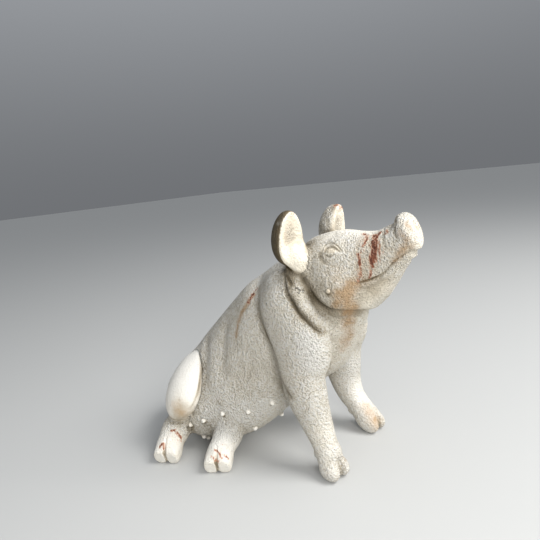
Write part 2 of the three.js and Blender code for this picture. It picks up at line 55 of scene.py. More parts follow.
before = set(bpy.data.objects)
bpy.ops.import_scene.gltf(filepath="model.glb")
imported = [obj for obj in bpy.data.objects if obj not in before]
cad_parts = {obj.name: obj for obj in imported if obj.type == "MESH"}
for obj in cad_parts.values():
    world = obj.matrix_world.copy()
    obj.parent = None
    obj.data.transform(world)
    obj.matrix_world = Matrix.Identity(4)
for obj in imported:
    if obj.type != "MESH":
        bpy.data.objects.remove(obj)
CAD_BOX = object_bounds()

MM = 0.001
ORIGIN = np.array([-91.12, -70.06, 0.0])  # the part's origin, in the sculptor's axes
FLESH = sorted(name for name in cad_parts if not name.startswith("eye"))
FAR_AWAY = 1000.0  # the value of a form where it is too far off to matter
SIDES = (-1, 1)  # her right and her left


# ---- Forms: signed distances in millimetres, on arrays of points ----

# stations of the lofts: x, y, z, half width, half depth behind and in front, any roll in degrees
TRUNK = [
    (-128, 222, 108, 96, 92, 96, -25),
    (-128, 176, 128, 104, 126, 132, -25),
    (-82, 104, 168, 124, 155, 168, -20),
    (-36, 10, 254, 128, 165, 167, -10),
    (-12, -82, 332, 128, 168, 165, 0),
    (0, -150, 410, 114, 140, 150, 0),
    (0, -200, 470, 96, 110, 122, 0),
]
FORELEG_RIGHT = [
    (-121, -240, 60, 30, 32, 38),
    (-121, -230, 84, 30, 30, 37),
    (-121, -208, 145, 38, 40, 48),
    (-120, -190, 200, 46, 52, 58),
    (-118, -180, 255, 50, 60, 64),
    (-108, -180, 335, 54, 80, 82),
    (-96, -128, 425, 44, 60, 58),
    (-76, -104, 468, 30, 38, 40),
]
FORELEG_LEFT = [
    (108, -226, 45, 32, 34, 34),
    (108, -203, 72, 32, 34, 34),
    (107, -185, 96, 35, 37, 38),
    (106, -170, 132, 40, 42, 46),
    (105, -162, 180, 45, 50, 55),
    (104, -168, 250, 50, 62, 56),
    (99, -174, 330, 54, 80, 76),
    (96, -128, 425, 44, 60, 58),
    (76, -104, 468, 30, 38, 40),
]
HEAD = [
    (0, 20, -10, 78, 78, 95),
    (0, -20, -6, 84, 86, 112),
    (0, -60, -2, 86, 79, 130),
    (0, -100, 0, 77, 67, 136),
    (0, -140, 0, 61, 47, 122),
    (0, -180, 0, 48, 32, 96),
    (0, -210, 0, 41, 32, 73),
    (0, -235, 0, 37, 32, 58),
]
HEAD_PLACE = np.array([0.0, -190.0, 495.0])  # where the head's own axes start
HEAD_PITCH = 21
# in the head's own axes
CHEEK = ((50, -48, -62), (50, 62, 66))
DISC_PLACE = (0, -251, 2)
DISC_FLAT = 31
DISC_HALF = 3
DISC_EDGE = 13
DISC_DISH = 4
DISC_NARROW = 1.12
# balls: x, y, z, radius
HOCK_RIGHT = [(-214, 188, 82, 36), (-246, 186, 64, 36), (-280, 178, 42, 35)]
HOCK_LEFT = [(-120, 72, 66, 38), (-190, 36, 60, 35), (-236, 22, 42, 34)]
BRISKET = [(0, -252, 388, 52), (0, -185, 290, 66)]
NECK_ROLL = [
    (82, -154, 492, 22),
    (95, -176, 456, 27),
    (96, -198, 415, 27),
    (84, -228, 380, 24),
    (58, -246, 358, 16),
]
# place, radii, turn
HAUNCH_RIGHT = ((-187, 170, 180), (72, 55, 106), (60, -40, 18))
HAUNCH_LEFT = ((-36, 198, 88), (100, 100, 94), (10, 0, 0))
RUMP = ((-92, 214, 128), (92, 84, 84))
TAIL = [(-78, 266, 206), (-84, 292, 186), (-104, 300, 162), (-124, 292, 150)]
TAIL_MIDDLE = (-100, 290, 180)
# middle of the toes, the way they point, half spread, toe width, toe height, sole ahead, bluntness,
# fillet: right front, left front, and the two hind feet
TROTTERS = [
    ((-124, -258, 22), (-0.2, -1, 0), 17, 19, 24, 60, 2.0, 20),
    ((109, -245, 22), (-0.15, -1, 0), 16, 18, 24, 60, 2.0, 20),
    ((-301, 166, 24), (-0.88, -0.42, -0.3), 16, 21, 23, 17, 2.5, 14),
    ((-258, 12, 24), (-0.82, -0.52, -0.3), 16, 21, 23, 17, 2.5, 14),
]
HIND_TROTTERS = TROTTERS[2:]
TOE_LENGTH = 1.25  # times its height
CLEFT_HALF = 0.8  # half its width, one toe's height behind the middle
CLEFT_FLARE = 0.07  # what that gains for each millimetre ahead
PASTERNS = [(-122, -200, 50), (108, -188, 50)]
DEWCLAW_APART = 15
EARS = {-1: (-96, -166, 588), 1: (100, -178, 582)}
EAR_TURNS = {-1: (-13, -4, 3), 1: (3, -4, 8)}
EAR_SHELL = ((0, 2, 0), (38, 45, 66))  # in the ear's own axes
EAR_FRONT = 14  # the shell is cut flat this far ahead of its place
EAR_TAPER = 0.0028  # share of its width lost for each millimetre up
TEATS = [
    (-230, 139, 83), (-219, 93, 103), (-200, 34, 130), (-169, -31, 137), (-128, -82, 156),
    (-185, 125, 25), (-206, 121, 30), (-143, -23, 75), (-71, -60, 90),
]
# opposite corners of the blocks that hold the forelegs, head and tail, and an ear round its place
LEG_BLOCK = ((-230, -360, -60), (230, 60, 570))
HEAD_BLOCK = ((-180, -520, 260), (180, -60, 720))
TAIL_BLOCK = ((-170, 220, 100), (-30, 350, 260))
EAR_BLOCK = ((-85, -85, -125), (85, 85, 95))


def axes_of(yaw=0.0, pitch=0.0, roll=0.0):
    """Axes, as columns, of a piece that faces -Y: yaw turns its front and roll its top to +X,
    and pitch lifts its front."""
    turn = Matrix.Rotation(math.radians(yaw), 3, "Z")
    lift = Matrix.Rotation(-math.radians(pitch), 3, "X")
    tip = Matrix.Rotation(math.radians(roll), 3, "Y")
    return np.array(turn @ lift @ tip)


HEAD_AXES = axes_of(pitch=HEAD_PITCH)


def ellipsoid(p, place, radii, turn=None):
    q = p - place
    if turn:
        q = q @ axes_of(*turn)
    r = np.asarray(radii, float)
    near = np.linalg.norm(q / r, axis=1)
    slope = np.linalg.norm(q / r**2, axis=1) + 1e-9
    return near * (near - 1) / slope


def cone(p, a, b):
    """Round cone between two balls, each (x, y, z, radius)."""
    a, b = np.asarray(a, float), np.asarray(b, float)
    along = b[:3] - a[:3]
    t = np.clip((p - a[:3]) @ along / (along @ along), 0, 1)
    return np.linalg.norm(p - a[:3] - t[:, None] * along, axis=1) - (a[3] + (b[3] - a[3]) * t)


def join(a, b, fillet):
    """Smooth union of two values."""
    t = np.clip(0.5 + 0.5 * (b - a) / fillet, 0, 1)
    return b + (a - b) * t - fillet * t * (1 - t)


def carve(a, b, fillet):
    """Smooth intersection of two values."""
    return -join(-a, -b, fillet)


def chain(p, balls, fillet):
    """Round cones from ball to ball."""
    value = cone(p, balls[0], balls[1])
    for a, b in zip(balls[1:-1], balls[2:]):
        value = join(value, cone(p, a, b), fillet)
    return value


def smooth_line(stations, steps):
    """Catmull-Rom samples through stations, with all their values."""
    s = np.asarray(stations, float)
    padded = np.vstack([2 * s[0] - s[1], s, 2 * s[-1] - s[-2]])
    t = np.linspace(0, 1, steps, endpoint=False)[:, None]
    rows = []
    for p0, p1, p2, p3 in zip(padded, padded[1:], padded[2:], padded[3:]):
        rows.append(
            0.5 * (2 * p1 + (p2 - p0) * t + (2 * p0 - 5 * p1 + 4 * p2 - p3) * t**2
                   + (3 * p1 - p0 - 3 * p2 + p3) * t**3)
        )
    return np.vstack(rows + [s[-1:]])


class Loft:
    """A form swept through stations, with round caps past the first and the last."""

    BATCH = 60000  # points worked out at a time

    def __init__(self, stations, steps, caps):
        s = smooth_line(stations, steps)
        self.centre, self.sizes, self.caps = s[:, :3], s[:, 3:6], caps
        tangent = np.gradient(self.centre, axis=0)
        tangent /= np.linalg.norm(tangent, axis=1)[:, None]
        side = np.array([1.0, 0, 0]) - tangent[:, :1] * tangent
        side /= np.linalg.norm(side, axis=1)[:, None]
        back = np.cross(tangent, side)
        roll = np.radians(s[:, 6:]) if s.shape[1] > 6 else 0
        c, n = np.cos(roll), np.sin(roll)
        self.tangent, self.side, self.back = tangent, side * c + back * n, back * c - side * n

    def nearest(self, p):
        """The piece of the line that is nearest to each point, and the share of it that is behind."""
        a = self.centre[:-1]
        e = self.centre[1:] - a
        ee = (e * e).sum(1)
        index, share = np.empty(len(p), int), np.empty(len(p))
        for k in range(0, len(p), self.BATCH):
            q = p[k:k + self.BATCH]
            along = q @ e.T - (a * e).sum(1)
            t = np.clip(along / ee, 0, 1)
            far = (q * q).sum(1)[:, None] - 2 * q @ a.T + (a * a).sum(1) - 2 * t * along + t * t * ee
            best = far.argmin(1)
            index[k:k + self.BATCH] = best
            share[k:k + self.BATCH] = t[np.arange(len(q)), best]
        return index, share

    def __call__(self, p):
        i, t = self.nearest(p)

        def at(rows):
            return rows[i] + (rows[i + 1] - rows[i]) * t[:, None]

        q = p - at(self.centre)
        side, back = at(self.side), at(self.back)
        u = (q * side).sum(1) / np.linalg.norm(side, axis=1)
        w = (q * back).sum(1) / np.linalg.norm(back, axis=1)
        along = (q * at(self.tangent)).sum(1)
        past = np.where((i == 0) & (t <= 0), np.minimum(along, 0), 0)
        beyond = np.where((i == len(self.centre) - 2) & (t >= 1), np.maximum(along, 0), 0)
        sizes = at(self.sizes)
        depth = np.where(w > 0, sizes[:, 1], sizes[:, 2])
        end = past / self.caps[0] + beyond / self.caps[1]
        ratio = np.sqrt((u / sizes[:, 0])**2 + (w / depth)**2 + end**2)
        reach = np.sqrt(u * u + w * w + (past + beyond)**2) / np.maximum(ratio, 1e-6)
        reach = np.maximum(reach, 0.8 * np.minimum(sizes[:, 0], depth))
        return (ratio - 1) * np.minimum(reach, np.maximum(sizes[:, 0], depth))


TRUNK_LOFT = Loft(TRUNK, 8, (66, 60))
FORELEG_LOFTS = [Loft(FORELEG_RIGHT, 6, (30, 30)), Loft(FORELEG_LEFT, 6, (30, 30))]
HEAD_LOFT = Loft(HEAD, 6, (50, 16))


def where_near(p, lo, hi, form):
    """The form's value inside a block, and far away outside it."""
    value = np.full(len(p), FAR_AWAY)
    inside = ((p > lo) & (p < hi)).all(1)
    if inside.any():
        value[inside] = form(p[inside])
    return value


def toe_axes(forward):
    """Across the toes, ahead of them and up from them, as columns."""
    front = np.array(forward, float)
    front /= np.linalg.norm(front)
    side = np.cross(front, [0, 0, 1])
    side /= np.linalg.norm(side)
    return np.stack([side, front, np.cross(side, front)], 1)


def toes(p, place, forward, spread, width, height, sole, blunt):
    """Two toes side by side, cut flat where the sole is."""
    q = (p - place) @ toe_axes(forward)
    q[:, 0] = np.abs(q[:, 0]) - spread
    radii = (width, TOE_LENGTH * height, height)
    one = ((np.abs(q / radii)**blunt).sum(1)**(1 / blunt) - 1) * width
    cleft = CLEFT_HALF + CLEFT_FLARE * (q[:, 1] + height) - np.abs(q[:, 0] + spread)
    return carve(carve(one, cleft, 4), q[:, 1] - sole, 3)


def snout_disc(h):
    """Rounded pad at the end of the snout, slightly dished, in the head's own axes."""
    q = h - DISC_PLACE
    r = np.hypot(DISC_NARROW * q[:, 0], q[:, 2])
    x = r - DISC_FLAT
    dished = DISC_DISH * (r / (DISC_FLAT + DISC_EDGE))**2
    y = np.abs(q[:, 1] - dished + DISC_DISH / 2) - DISC_HALF
    outside = np.hypot(np.maximum(x, 0), np.maximum(y, 0))
    return np.minimum(np.maximum(x, y), 0) + outside - DISC_EDGE


def head_form(p):
    h = (p - HEAD_PLACE) @ HEAD_AXES
    value = HEAD_LOFT(h)
    (x, y, z), radii = CHEEK
    for side in SIDES:
        value = join(value, ellipsoid(h, (side * x, y, z), radii), 22)
    return join(value, snout_disc(h), 6)


def ear_points(p, side):
    """Points in an ear's own axes."""
    return (p - EARS[side]) @ axes_of(*EAR_TURNS[side])


def ear_form(p, side):
    """Upright cupped ear, broad low down, with a thin rim and a root that runs into the head."""
    x, y, z = EARS[side]
    q = ear_points(p, side)
    half_height = EAR_SHELL[1][2]
    q[:, 0] /= 1 - EAR_TAPER * np.clip(q[:, 2], -half_height, half_height)
    shell = ellipsoid(q, *EAR_SHELL)
    root = cone(p, (0.9 * x, y - 4, z - 36, 25), (0.8 * x, y - 10, z - 70, 26))
    web = cone(p, (0.78 * x, y - 21, z - 24, 9), (0.82 * x, y - 20, z - 54, 21))
    bowl = ellipsoid(q, (side * 2, -34, 10), (42, 31, 63))
    cup = carve(carve(shell, -q[:, 1] - EAR_FRONT, 5), -bowl, 6)
    return join(cup, join(root, web, 10), 14)


def body_form(p):
    """Trunk, legs, neck and head, without ears and tail."""
    value = TRUNK_LOFT(p)
    value = join(value, ellipsoid(p, *HAUNCH_LEFT), 55)
    value = join(value, ellipsoid(p, *RUMP), 40)
    value = join(value, chain(p, HOCK_LEFT, 20), 12)
    for leg in FORELEG_LOFTS:
        value = join(value, where_near(p, *LEG_BLOCK, leg), 24)
    value = join(value, cone(p, *BRISKET), 30)
    value = join(value, ellipsoid(p, *HAUNCH_RIGHT), 4)
    value = join(value, chain(p, HOCK_RIGHT, 20), 10)
    for *trotter, fillet in TROTTERS:
        value = join(value, toes(p, *trotter), fillet)
    for side in SIDES:
        balls = [(x * side, *rest) for x, *rest in NECK_ROLL]
        value = join(value, chain(p, balls, 12), 16)
    return join(value, where_near(p, *HEAD_BLOCK, head_form), 11)


def tail_form(p):
    value = np.full(len(p), FAR_AWAY)
    for place, radius in TAIL_BALLS:
        value = join(value, np.linalg.norm(p - place, axis=1) - radius, 9)
    return value


def skin_form(p):
    """The whole casting with ears and tail, flat where it stands on the floor."""
    value = body_form(p)
    for side, place in EARS.items():
        block = np.array(EAR_BLOCK) + place
        value = join(value, where_near(p, *block, lambda q, s=side: ear_form(q, s)), 15)
    value = join(value, where_near(p, *TAIL_BLOCK, tail_form), 3)
    return np.maximum(value, -p[:, 2])


def slope_of(form, p, step=0.6):
    """The form's value at each point, the way out from it, and how steeply the value grows there."""
    value = form(p)
    columns = [form(p + step * axis) - value for axis in np.eye(3)]
    slope = np.stack(columns, 1) / step
    steep = np.linalg.norm(slope, axis=1)
    return value, slope / np.maximum(steep, 1e-6)[:, None], np.clip(steep, 0.3, 3)


def settled(form, p, most=40, rounds=4):
    """Points moved along the form's slope until they lie on its surface, and the slope there."""
    p = np.atleast_2d(np.array(p, float))
    for _ in range(rounds):
        value, out, steep = slope_of(form, p)
        p -= np.clip(value / steep, -most, most)[:, None] * out
    return p, slope_of(form, p)[1]


def beads(route, radius, taper, sunk):
    """Balls along a smooth route on the body, sunk into it by a share of their radius."""
    line, out = settled(body_form, smooth_line(route, 4))
    radii = radius - taper * np.linspace(0, 1, len(line))
    return list(zip(line + out * (1 - sunk) * radii[:, None], radii))


TAIL_BALLS = beads(TAIL, 10, 5, 0.4)


# ---- Marks worked into the surface ----

OUT_OF_REACH = 1e9  # a squared distance past every mark
CREASE = 9  # a pressed fold narrower than this is a crease


def nearness(p, line, reach, fade):
    """Squared distance to a line of points, and a weight that falls to 0 at the line's ends."""
    far, ends = np.full(len(p), OUT_OF_REACH), np.zeros(len(p))
    inside = ((p > line.min(0) - reach) & (p < line.max(0) + reach)).all(1)
    q = p[inside]
    steps = np.diff(line, axis=0)
    length = np.r_[0, np.cumsum(np.linalg.norm(steps, axis=1))]
    best, place = np.full(len(q), OUT_OF_REACH), np.zeros(len(q))
    for i, (a, e) in enumerate(zip(line, steps)):
        t = np.clip((q - a) @ e / (e @ e), 0, 1)
        gap = ((q - a - t[:, None] * e)**2).sum(1)
        closer = gap < best
        best[closer] = gap[closer]
        place[closer] = ((length[i] + t * (length[i + 1] - length[i])) / length[-1])[closer]
    far[inside] = best
    ends[inside] = np.clip(np.minimum(place, 1 - place) / fade, 0, 1)**0.5 if fade else 1
    return far, ends


def both_sides(route):
    """A route or a place on her right, and the same on her left."""
    right = np.asarray(route, float)
    return [right, right * (-1, 1, 1)]


def on_skin(route, steps=3):
    return settled(skin_form, smooth_line(route, steps))[0]


def strokes(rows):
    """Lines on the skin, with their width, rise and fade, from rows of route, width, rise, fade."""
    return [(on_skin(line), *rest) for route, *rest in rows for line in both_sides(route)]


# route, width, rise (below 0 pressed in), share of the length that fades at each end
FOLDS = strokes([
    # valley behind the shoulder
    ([(-30, -14, 484), (-71, -30, 458), (-101, -44, 431), (-119, -58, 402), (-131, -75, 373),
      (-138, -92, 340), (-140, -108, 306), (-143, -125, 266), (-152, -147, 233), (-162, -172, 204)],
     17, -8, 0.2),
    # crease where the foreleg leaves it
    ([(-134, -77, 380), (-143, -111, 332), (-149, -126, 312), (-153, -136, 279), (-157, -143, 256),
      (-158, -148, 230), (-166, -172, 219), (-166, -186, 198)], 4, -5, 0.3),
    # swelling of the shoulder and flank either side of them
    ([(-96, -84, 434), (-120, -105, 395), (-132, -130, 345), (-136, -150, 300)], 26, 4, 0.4),
    ([(-84, 10, 430), (-120, -10, 372), (-140, -30, 320), (-150, -50, 270)], 26, 3, 0.4),
    # valleys in the flank and before the haunch
    ([(-112, 59, 368), (-134, 58, 334), (-156, 51, 297), (-173, 41, 259), (-185, 22, 216)], 18, -9, 0.4),
    ([(-112, 142, 305), (-141, 122, 278), (-166, 105, 245), (-182, 96, 210), (-194, 98, 175)],
     15, -7.5, 0.35),
    # groove round the front of the haunch
    ([(-156, 151, 265), (-178, 122, 246), (-195, 109, 222), (-219, 104, 179), (-242, 118, 137)],
     3.5, -4, 0.3),
    # below the ear, and the two rolls of the neck
    ([(-112, -156, 526), (-101, -160, 514), (-102, -173, 505), (-97, -187, 499), (-95, -196, 489),
      (-98, -205, 476)], 6, -7.5, 0.15),
    ([(-102, -152, 501), (-108, -164, 488), (-118, -181, 475)], 4, -4, 0.4),
    ([(-92, -140, 512), (-106, -152, 482), (-120, -169, 455), (-124, -184, 432), (-129, -202, 413),
      (-128, -220, 395), (-125, -236, 379), (-112, -254, 362)], 5.5, -9, 0.25),
    ([(-110, -184, 462), (-118, -202, 432), (-116, -224, 408), (-108, -240, 388)], 12, 3, 0.3),
    ([(-107, -206, 458), (-102, -223, 435), (-100, -237, 413), (-90, -254, 390)], 9, -4.5, 0.4),
    # below the jowl
    ([(-92, -200, 484), (-94, -212, 461), (-92, -226, 442), (-91, -246, 428), (-86, -265, 419),
      (-80, -287, 414), (-59, -302, 408), (-30, -306, 402)], 7, -9.5, 0.2),
])
# fine work on the head
LINES = strokes([
    # folds across the bridge of the snout
    ([(-12, -388, 607), (-29, -390, 595), (-36, -393, 585), (-40, -392, 572)], 3.5, -2, 0.4),
    ([(-15, -374, 601), (-32, -378, 589), (-39, -380, 579), (-43, -384, 566), (-44, -389, 554)],
     3.5, -2.4, 0.4),
    ([(0, -381, 606), (-22, -383, 598), (-38, -386, 582), (-43, -384, 566)], 4, 1.6, 0.4),
    # crease behind the pad of the snout
    ([(-12, -398, 622), (-24, -401, 617), (-30, -405, 609), (-32, -403, 596), (-37, -407, 581),
      (-38, -411, 567)], 4, -3.6, 0.25),
    # brow
    ([(-54, -246, 575), (-56, -262, 577), (-57, -276, 574), (-58, -290, 566)], 10, 4, 0.4),
    ([(-78, -242, 553), (-80, -240, 541), (-83, -246, 530)], 7, -4, 0.4),
    # fold below the eye
    ([(-84, -242, 530), (-84, -252, 531), (-82, -262, 530)], 4, -2, 0.4),
    # lids
    ([(-70, -243, 560), (-63, -249, 567), (-60, -259, 570), (-62, -271, 568), (-65, -283, 561),
      (-69, -293, 552)], 1.9, -3, 0.15),
    ([(-74, -246, 556), (-67, -250, 564), (-64, -259, 567), (-64, -269, 566), (-67, -281, 560)],
     2.6, 2.8, 0.15),
    ([(-76, -249, 550), (-70, -252, 559), (-67, -259, 563), (-66, -268, 563), (-68, -278, 558),
      (-70, -289, 552)], 2, -4, 0.12),
    ([(-76, -251, 550), (-78, -257, 548), (-77, -265, 548), (-74, -274, 551)], 2, 1.8, 0.3),
    ([(-77, -250, 548), (-79, -259, 544), (-78, -268, 544), (-75, -276, 548)], 1.8, -2.8, 0.3),
    # wrinkle above the brow
    ([(-26, -254, 589), (-32, -268, 587), (-26, -278, 589)], 2, -1.2, 0.3),
])
# right halves of the lines round the snout
MOUTH = [
    (-63, -324, 479), (-57, -333, 482), (-51, -346, 486), (-46, -357, 490), (-41, -369, 495),
    (-37, -380, 503), (-35, -389, 514), (-33, -399, 524), (-31, -408, 532), (-28, -420, 540),
    (-23, -431, 547), (-14, -438, 550), (0, -441, 550),
]
LIP_BAND = [
    (-64, -323, 474), (-56, -332, 471), (-47, -350, 475), (-38, -369, 485), (-31, -387, 497),
    (-27, -401, 512), (-20, -420, 528), (0, -435, 538),
]
LOWER_LIP = [
    (-64, -324, 470), (-60, -327, 465), (-52, -335, 463), (-43, -352, 465), (-36, -370, 476),
    (-29, -386, 489), (-25, -399, 501), (-19, -411, 512), (-12, -422, 521), (0, -428, 525),
]
EYE = [(-75, -247, 552), (-72, -264, 554), (-69, -288, 553)]  # outer corner, middle, inner
EYEBALL_RADIUS = 11
EYEBALL_SHAPE = (1, 1.5, 0.95)  # times its radius
EYEBALL_SUNK = 8.2  # its middle below the skin
TEAT_RADIUS = 6.5
WART_RADIUS = 5.5
WART = (-99, -267, 466)
NOSTRILS = [(-27, -431, 606), (4, -437, 602)]


def lumps(places, rise, radius):
    """Rows of a place on the skin, how far the lump stands out of it, and its radius."""
    return [(place, rise, radius) for place in settled(skin_form, places)[0]]


TEAT_LUMPS = lumps(TEATS, 9.5, TEAT_RADIUS)
DEWCLAW_LUMPS = lumps([(x + side * DEWCLAW_APART, y, z) for x, y, z in PASTERNS for side in SIDES], 4, 9)
WART_LUMPS = lumps(both_sides(WART), 6.5, WART_RADIUS)
LUMPS = TEAT_LUMPS + DEWCLAW_LUMPS + WART_LUMPS + lumps(NOSTRILS, -4, 7)


def across(route):
    """A line round both sides from its right half, which ends on the middle."""
    right = np.array(route, float)
    return on_skin(np.vstack([right, right[-2::-1] * (-1, 1, 1)]), 2)


MOUTH_LINE = across(MOUTH)
MOUTH_MARKS = [
    (MOUTH_LINE, 2.4, -5, 0.03),
    (MOUTH_LINE, 11, 2, 0.06),
    (across(LIP_BAND), 4.5, 2.5, 0.1),
    (across(LOWER_LIP), 4.5, -4, 0.06),
]
EYE_LINES = [on_skin(line) for line in both_sides(EYE)]
ANKLE = [(-272, 190, 78), (-278, 174, 77), (-271, 158, 69), (-262, 146, 50)]
ANKLE_CREASE = (on_skin(ANKLE), 3.5, -3, 0.3)
CLEFT_ROUTE = [(38, 40), (26, 38), (12, 34), (2, 24), (-2, 8)]  # back from the front of the toes, and up
TOE_FRONT = 28  # most that the front counts as ahead of the toes' middle


def cleft_line(place, forward, sole):
    """The line between the toes, from the top of the foot over its front."""
    _, front, top = toe_axes(forward).T
    ahead = min(sole, TOE_FRONT)
    return on_skin([place + front * (ahead - back) + top * up for back, up in CLEFT_ROUTE])


CLEFTS = [(cleft_line(place, forward, sole), 2.8, -5, 0.25)
          for place, forward, _, _, _, sole, _, _ in TROTTERS]


def stroke(p, line, width, rise, fade):
    """A soft ridge or groove along a line."""
    far, ends = nearness(p, line, 3.2 * width, fade)
    return rise * np.exp(-far / width**2) * ends


def relief(p):
    """How far the surface stands out, in millimetres, from the folds, creases and lumps."""
    out = np.zeros(len(p))
    for line, width, rise, fade in FOLDS:
        out += stroke(p, line, width, rise, fade)
        if width < CREASE and rise < 0:
            out += stroke(p, line, 3.2 * width, -0.3 * rise, fade)  # the swelling either side
    for mark in [*LINES, ANKLE_CREASE, *MOUTH_MARKS]:
        out += stroke(p, *mark)
    for place, rise, radius in LUMPS:
        out += rise * np.exp(-(((p - place)**2).sum(1) / radius**2)**2)
    for mark in CLEFTS:
        out += stroke(p, *mark)
    return out


# ---- Where the paint is dirty, stained, rusty or worn smooth, and where shade and light are painted into it ----

LEFT_SHARE = 0.75  # of a mark's strength on her left side

# route, width, strength
# soft dark bands: painted shade in the folds, valleys and undersides, with some dirty paint
SHADE_AND_DIRT = [
    # neck folds, below the ear and along the jowl
    ([(-90, -144, 513), (-103, -161, 499), (-113, -172, 483), (-122, -184, 440), (-129, -205, 410),
      (-120, -245, 372)], 15, 0.58),
    ([(-95, -203, 484), (-94, -226, 445), (-88, -262, 424), (-66, -298, 410), (-30, -306, 402)], 20, 0.5),
    ([(-98, -248, 470), (-93, -285, 446), (-72, -312, 430)], 26, 0.3),
    # behind the shoulder, in the flank and before the haunch
    ([(-90, -44, 450), (-123, -64, 407), (-138, -92, 359), (-149, -126, 312), (-157, -143, 256),
      (-166, -172, 219)], 16, 0.38),
    ([(-112, 59, 368), (-142, 45, 327), (-160, 37, 289), (-178, 24, 241), (-184, 9, 207),
      (-179, -12, 192)], 20, 0.16),
    ([(-112, 142, 305), (-141, 122, 278), (-166, 105, 245), (-182, 96, 210), (-205, 98, 160)], 16, 0.25),
    # flank, back and foot of the haunch
    ([(-150, -30, 300), (-166, -17, 250), (-172, -40, 190)], 50, 0.16),
    ([(-60, 70, 430), (-96, 20, 419), (-110, 70, 380)], 60, 0.12),
    ([(-262, 130, 150), (-256, 140, 128)], 30, 0.5),
    # inside of the ears, and the side of the snout
    ([(-89, -173, 602), (-96, -175, 580)], 26, 0.22),
    ([(-46, -370, 560), (-52, -350, 530), (-56, -330, 500)], 36, 0.16),
    ([(-40, -372, 478), (-50, -345, 456), (-58, -320, 436)], 30, 0.34),
    # round the eye and at the end of the mouth
    ([(-73, -242, 554), (-79, -239, 543), (-83, -251, 533), (-82, -264, 530)], 9, 0.24),
    ([(-64, -322, 480), (-52, -345, 485), (-44, -362, 492)], 4, 0.6),
]
STAINS = [
    ([(-74, -316, 472), (-85, -301, 448), (-78, -306, 433), (-63, -298, 406)], 24, 0.95),
    ([(-93, -290, 458), (-92, -284, 436)], 20, 0.7),
    ([(-66, -300, 409), (-47, -284, 377), (-42, -276, 344), (-39, -263, 310)], 20, 0.75),
    ([(-41, -345, 575), (-54, -344, 532), (-56, -337, 495)], 30, 0.45),
    ([(-90, -280, 500), (-80, -300, 500), (-70, -315, 480)], 40, 0.28),
    ([(-112, -172, 600), (-96, -178, 610), (-92, -176, 630)], 26, 0.3),
    ([(-37, -433, 574), (-33, -424, 560), (-32, -414, 545), (-33, -402, 529)], 12, 0.65),
    ([(-96, -27, 437), (-114, -21, 413), (-121, -10, 395), (-129, -3, 375), (-142, 4, 335)], 8, 0.9),
    ([(-265, 145, 157), (-259, 132, 137)], 26, 0.42),
    ([(89, -238, 73), (92, -257, 49), (91, -269, 34)], 24, 0.6),
    ([(-157, -255, 36), (-157, -274, 27)], 14, 0.2),
    ([(-27, -431, 606), (-24, -434, 598)], 9, 0.5),
    ([(2, -437, 603), (4, -438, 594)], 8, 0.5),
    ([(-44, -418, 590), (-36, -430, 572), (-24, -436, 560)], 12, 0.5),
    ([(-60, -345, 560), (-56, -370, 540), (-44, -392, 548)], 18, 0.28),
    ([(-150, -170, 300), (-150, -205, 270)], 26, 0.22),
    ([(-290, 160, 70), (-312, 168, 50)], 22, 0.2),
    ([(-250, 5, 62), (-262, 0, 48)], 20, 0.2),
]
RUST = [
    ([(-19, -324, 586), (-31, -337, 582), (-43, -341, 574), (-51, -337, 563)], 4.5, 0.75),
    ([(-53, -339, 559), (-56, -335, 550)], 4, 0.4),
    ([(-59, -328, 546), (-59, -329, 535), (-60, -330, 522)], 3.6, 1.0),
    ([(-60, -330, 514), (-60, -330, 503), (-60, -327, 489), (-63, -323, 481)], 5, 0.55),
    ([(-28, -368, 589), (-35, -365, 583), (-41, -362, 575), (-46, -360, 566)], 5.5, 1.0),
    ([(-46, -360, 566), (-49, -358, 551), (-51, -354, 538), (-50, -355, 525), (-50, -355, 515)], 4.2, 1.0),
    ([(-44, -364, 571), (-46, -367, 558), (-48, -363, 545), (-49, -358, 529)], 6.5, 0.9),
    ([(-50, -353, 509), (-51, -348, 492)], 3.6, 0.75),
    ([(-44, -370, 566), (-46, -369, 549), (-48, -363, 531)], 11, 0.5),
    ([(-30, -386, 593), (-35, -385, 587)], 3.6, 0.85),
    ([(-30, -357, 584), (-43, -358, 573), (-48, -357, 558)], 6, 0.9),
    ([(-31, -337, 582), (-46, -337, 571)], 4, 0.6),
    ([(-281, 166, 82), (-273, 157, 81), (-271, 149, 71), (-265, 145, 57)], 3.2, 0.95),
    ([(-276, 146, 57), (-268, 144, 50)], 3, 0.8),
    ([(-317, 176, 49), (-310, 170, 58), (-313, 163, 45)], 4, 0.9),
    ([(-306, 182, 58), (-302, 176, 64)], 3.4, 0.7),
    ([(-318, 172, 40), (-317, 166, 36)], 3.4, 0.7),
    ([(-270, 22, 48), (-272, 12, 44)], 3.6, 0.8),
    ([(-272, 4, 40), (-270, -4, 36)], 3.6, 0.8),
    ([(-240, 8, 78), (-244, 4, 72)], 3.4, 0.6),
    ([(-262, 13, 62), (-260, 2, 56), (-261, -8, 42)], 3.4, 0.8),
    ([(-252, -9, 50), (-251, -19, 40)], 3, 0.9),
    ([(-80, -29, 452), (-97, -27, 437), (-110, -22, 420)], 5, 0.95),
    ([(95, -185, 646), (117, -190, 637)], 7, 0.8),
    ([(-98, -187, 592), (-104, -184, 578), (-106, -183, 568)], 2.4, 0.6),
]
SPECKS = [
    ([(-117, -189, 472), (-113, -197, 467)], 3.5, 0.9),
    ([(-107, -202, 467), (-109, -203, 462)], 3.5, 0.9),
    ([(-118, -194, 463), (-116, -196, 461)], 3, 0.7),
    ([(-136, -109, 430), (-137, -110, 428)], 3.6, 1.0),
    ([(-133, -86, 158), (-134, -84, 150)], 7, 0.6),
    ([(-52, -273, 576), (-55, -276, 573)], 3, 0.5),
]
